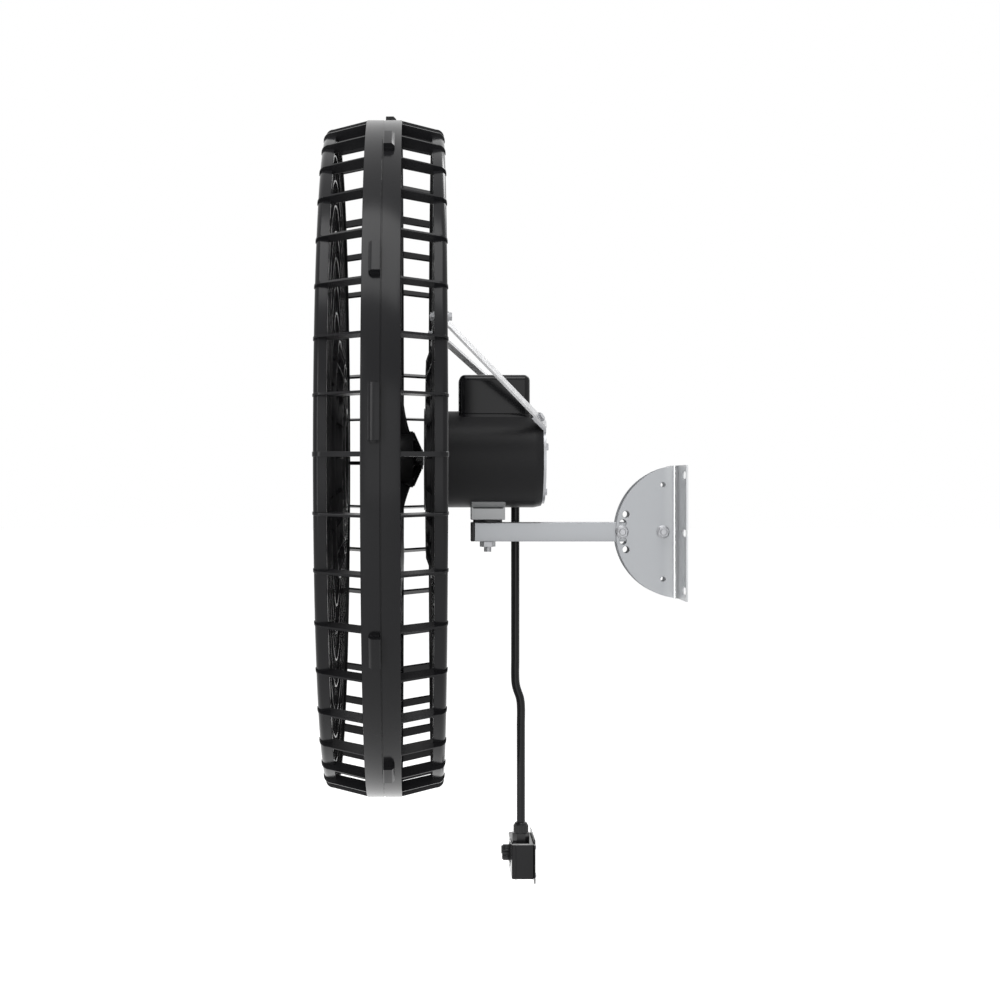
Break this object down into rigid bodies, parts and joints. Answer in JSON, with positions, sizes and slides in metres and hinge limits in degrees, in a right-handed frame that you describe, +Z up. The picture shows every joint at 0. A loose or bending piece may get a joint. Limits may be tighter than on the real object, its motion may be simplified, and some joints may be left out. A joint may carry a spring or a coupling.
{
  "type": "wall mounted fan",
  "caption": "Round caged fan with blades on a motor, carried by a square arm that swivels and tilts on a bracket for a wall, with a speed control hanging on its cord.",
  "frame": {"origin": "on the wall, at the middle of the bracket's flanges, between its two plates and level with the arm", "axes": "+X into the wall, against the way the fan blows; +Z up; +Y to the fan's right hand side seen from the wall"},
  "size_m": [0.4544, 0.8846, 1.0036],
  "materials": {
    "zinc_plated": "dull zinc plating, faint grain",
    "bright_zinc": "bright zinc plating",
    "guard_black": "satin moulded plastic",
    "blade_black": "satin moulded plastic",
    "motor_black": "satin powder coat",
    "box_black": "smooth moulded plastic",
    "cord_rubber": "matt rubber jacket",
    "nylon": "dark nylon",
    "shaft_steel": "ground steel",
    "lamination": "stacked electrical steel",
    "copper": "varnished copper wire",
    "alloy_can": "plain drawn can"
  },
  "bodies": {
    "wall_bracket": {"bracket_plate_near": "zinc_plated", "bracket_plate_far": "zinc_plated", "pivot_bolt": "bright_zinc", "pivot_nut": "bright_zinc", "lock_screws": "bright_zinc"},
    "arm": {"arm_tube": "zinc_plated", "arm_end_cap": "nylon", "swivel_washer": "nylon"},
    "head": {"swivel_bolt": "bright_zinc", "swivel_nut": "bright_zinc", "foot_bracket": "zinc_plated", "foot_screws": "bright_zinc", "motor_shell": "motor_black", "front_shield": "motor_black", "front_bearing": "shaft_steel", "rear_bearing": "shaft_steel", "stator": "lamination", "windings": "copper", "motor_rear_plate": "bright_zinc", "motor_bolts": "bright_zinc", "top_box_base": "box_black", "top_box_cover": "box_black", "capacitor": "alloy_can", "strut_near": "bright_zinc", "strut_far": "bright_zinc", "ear_screws": "motor_black", "strut_bolts": "bright_zinc", "strut_nuts": "bright_zinc", "front_guard_rim": "guard_black", "front_guard_grille": "guard_black", "rear_guard_rim": "guard_black", "rear_guard_grille": "guard_black", "guard_bolts": "bright_zinc", "cord_strain_relief": "cord_rubber", "power_cord": "cord_rubber", "cord_gland": "nylon", "control_box": "box_black", "control_box_plate": "box_black", "control_screws": "bright_zinc", "speed_switch": "nylon"},
    "rotor": {"motor_shaft": "shaft_steel", "rotor_core": "lamination", "fan_blade": "blade_black", "hub_set_screw": "shaft_steel"},
    "knob": {"speed_knob": "nylon"}
  },
  "joints": [
    {"name": "arm_tilt", "type": "hinge", "parent": "wall_bracket", "child": "arm", "pos_m": [-0.021, 0, 0], "axis": [0, 1, 0], "range_deg": [-25.5, 25.5]},
    {"name": "head_pan", "type": "hinge", "parent": "arm", "child": "head", "pos_m": [-0.247, 0, 0.0125], "axis": [0, 0, 1], "range_deg": [-40, 40]},
    {"name": "blade_spin", "type": "hinge", "parent": "head", "child": "rotor", "pos_m": [-0.3796, 0, 0.094], "axis": [-1, 0, 0], "continuous": true},
    {"name": "speed_knob_turn", "type": "hinge", "parent": "head", "child": "knob", "pos_m": [-0.2133, 0.093, -0.4339], "axis": [1, 0, 0], "range_deg": [0, 270]}
  ]
}
